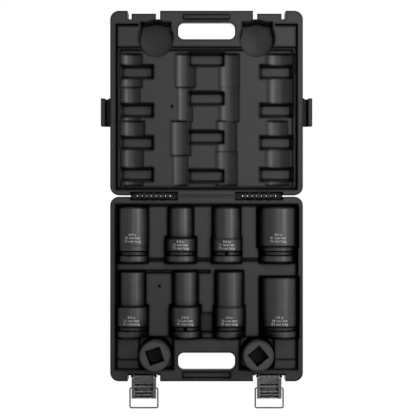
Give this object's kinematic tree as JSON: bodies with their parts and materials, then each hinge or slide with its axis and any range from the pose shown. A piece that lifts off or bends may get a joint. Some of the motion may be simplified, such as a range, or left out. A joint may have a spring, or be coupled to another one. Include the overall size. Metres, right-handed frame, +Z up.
{
  "type": "impact socket set in carrying case",
  "caption": "Black impact sockets for a square drive, seated in a moulded carrying case that is hinged in the middle, opened flat and shut by two wire latches.",
  "frame": {"origin": "centre of the opened set's footprint, on the surface that it rests on", "axes": "+Y from the base towards the lid, +X along the hinge to the right as seen from the latches, +Z up"},
  "size_m": [0.29, 0.5454, 0.0854],
  "materials": {
    "case": "fine-grained moulded polyethylene, black",
    "socket": "black phosphate, satin",
    "lever": "black, satin",
    "wire": "dark zinc",
    "pin_steel": "bright zinc"
  },
  "bodies": {
    "base": {"base_shell": "case", "hinge_pin_left": "pin_steel", "hinge_pin_right": "pin_steel", "latch_pivot_pin_left": "pin_steel", "latch_pivot_pin_right": "pin_steel"},
    "lid": {"lid_shell": "case", "lid_side_bracket_left": "case", "lid_side_bracket_right": "case"},
    "lever_left": {"latch_lever_left": "lever"},
    "bail_left": {"latch_bail_left": "wire"},
    "lever_right": {"latch_lever_right": "lever"},
    "bail_right": {"latch_bail_right": "wire"},
    "socket_short_1": {"socket_short_1": "socket"},
    "socket_short_2": {"socket_short_2": "socket"},
    "socket_short_3": {"socket_short_3": "socket"},
    "socket_short_4": {"socket_short_4": "socket"},
    "socket_deep_1": {"socket_deep_1": "socket"},
    "socket_deep_2": {"socket_deep_2": "socket"},
    "socket_deep_3": {"socket_deep_3": "socket"},
    "socket_deep_4": {"socket_deep_4": "socket"},
    "socket_upright_left": {"socket_upright_left": "socket"},
    "socket_upright_right": {"socket_upright_right": "socket"}
  },
  "joints": [
    {"name": "lid_hinge", "type": "hinge", "parent": "base", "child": "lid", "pos_m": [0, 0.0189, 0.045], "axis": [-1, 0, 0], "range_deg": [-180, 0]},
    {"name": "socket_short_1_lift", "type": "slide", "parent": "base", "child": "socket_short_1", "axis": [0, 0, 1], "range_m": [0, 0.07]},
    {"name": "socket_short_2_lift", "type": "slide", "parent": "base", "child": "socket_short_2", "axis": [0, 0, 1], "range_m": [0, 0.07]},
    {"name": "socket_short_3_lift", "type": "slide", "parent": "base", "child": "socket_short_3", "axis": [0, 0, 1], "range_m": [0, 0.07]},
    {"name": "socket_short_4_lift", "type": "slide", "parent": "base", "child": "socket_short_4", "axis": [0, 0, 1], "range_m": [0, 0.07]},
    {"name": "socket_deep_1_lift", "type": "slide", "parent": "base", "child": "socket_deep_1", "axis": [0, 0, 1], "range_m": [0, 0.07]},
    {"name": "socket_deep_2_lift", "type": "slide", "parent": "base", "child": "socket_deep_2", "axis": [0, 0, 1], "range_m": [0, 0.07]},
    {"name": "socket_deep_3_lift", "type": "slide", "parent": "base", "child": "socket_deep_3", "axis": [0, 0, 1], "range_m": [0, 0.07]},
    {"name": "socket_deep_4_lift", "type": "slide", "parent": "base", "child": "socket_deep_4", "axis": [0, 0, 1], "range_m": [0, 0.07]},
    {"name": "socket_upright_left_lift", "type": "slide", "parent": "base", "child": "socket_upright_left", "axis": [0, 0, 1], "range_m": [0, 0.09]},
    {"name": "socket_upright_right_lift", "type": "slide", "parent": "base", "child": "socket_upright_right", "axis": [0, 0, 1], "range_m": [0, 0.09]},
    {"name": "latch_lever_left", "type": "hinge", "parent": "base", "child": "lever_left", "pos_m": [-0.086, -0.2279, 0.0395], "axis": [-1, 0, 0], "range_deg": [-90, 45]},
    {"name": "latch_bail_left", "type": "hinge", "parent": "lever_left", "child": "bail_left", "pos_m": [-0.086, -0.2446, 0.0395], "axis": [-1, 0, 0], "range_deg": [-90, 180]},
    {"name": "latch_lever_right", "type": "hinge", "parent": "base", "child": "lever_right", "pos_m": [0.086, -0.2279, 0.0395], "axis": [-1, 0, 0], "range_deg": [-90, 45]},
    {"name": "latch_bail_right", "type": "hinge", "parent": "lever_right", "child": "bail_right", "pos_m": [0.086, -0.2446, 0.0395], "axis": [-1, 0, 0], "range_deg": [-90, 180]}
  ],
  "couplings": [
    {"joint": "latch_bail_left", "follows": "latch_lever_left", "ratio": -2},
    {"joint": "latch_bail_right", "follows": "latch_lever_right", "ratio": -2}
  ]
}
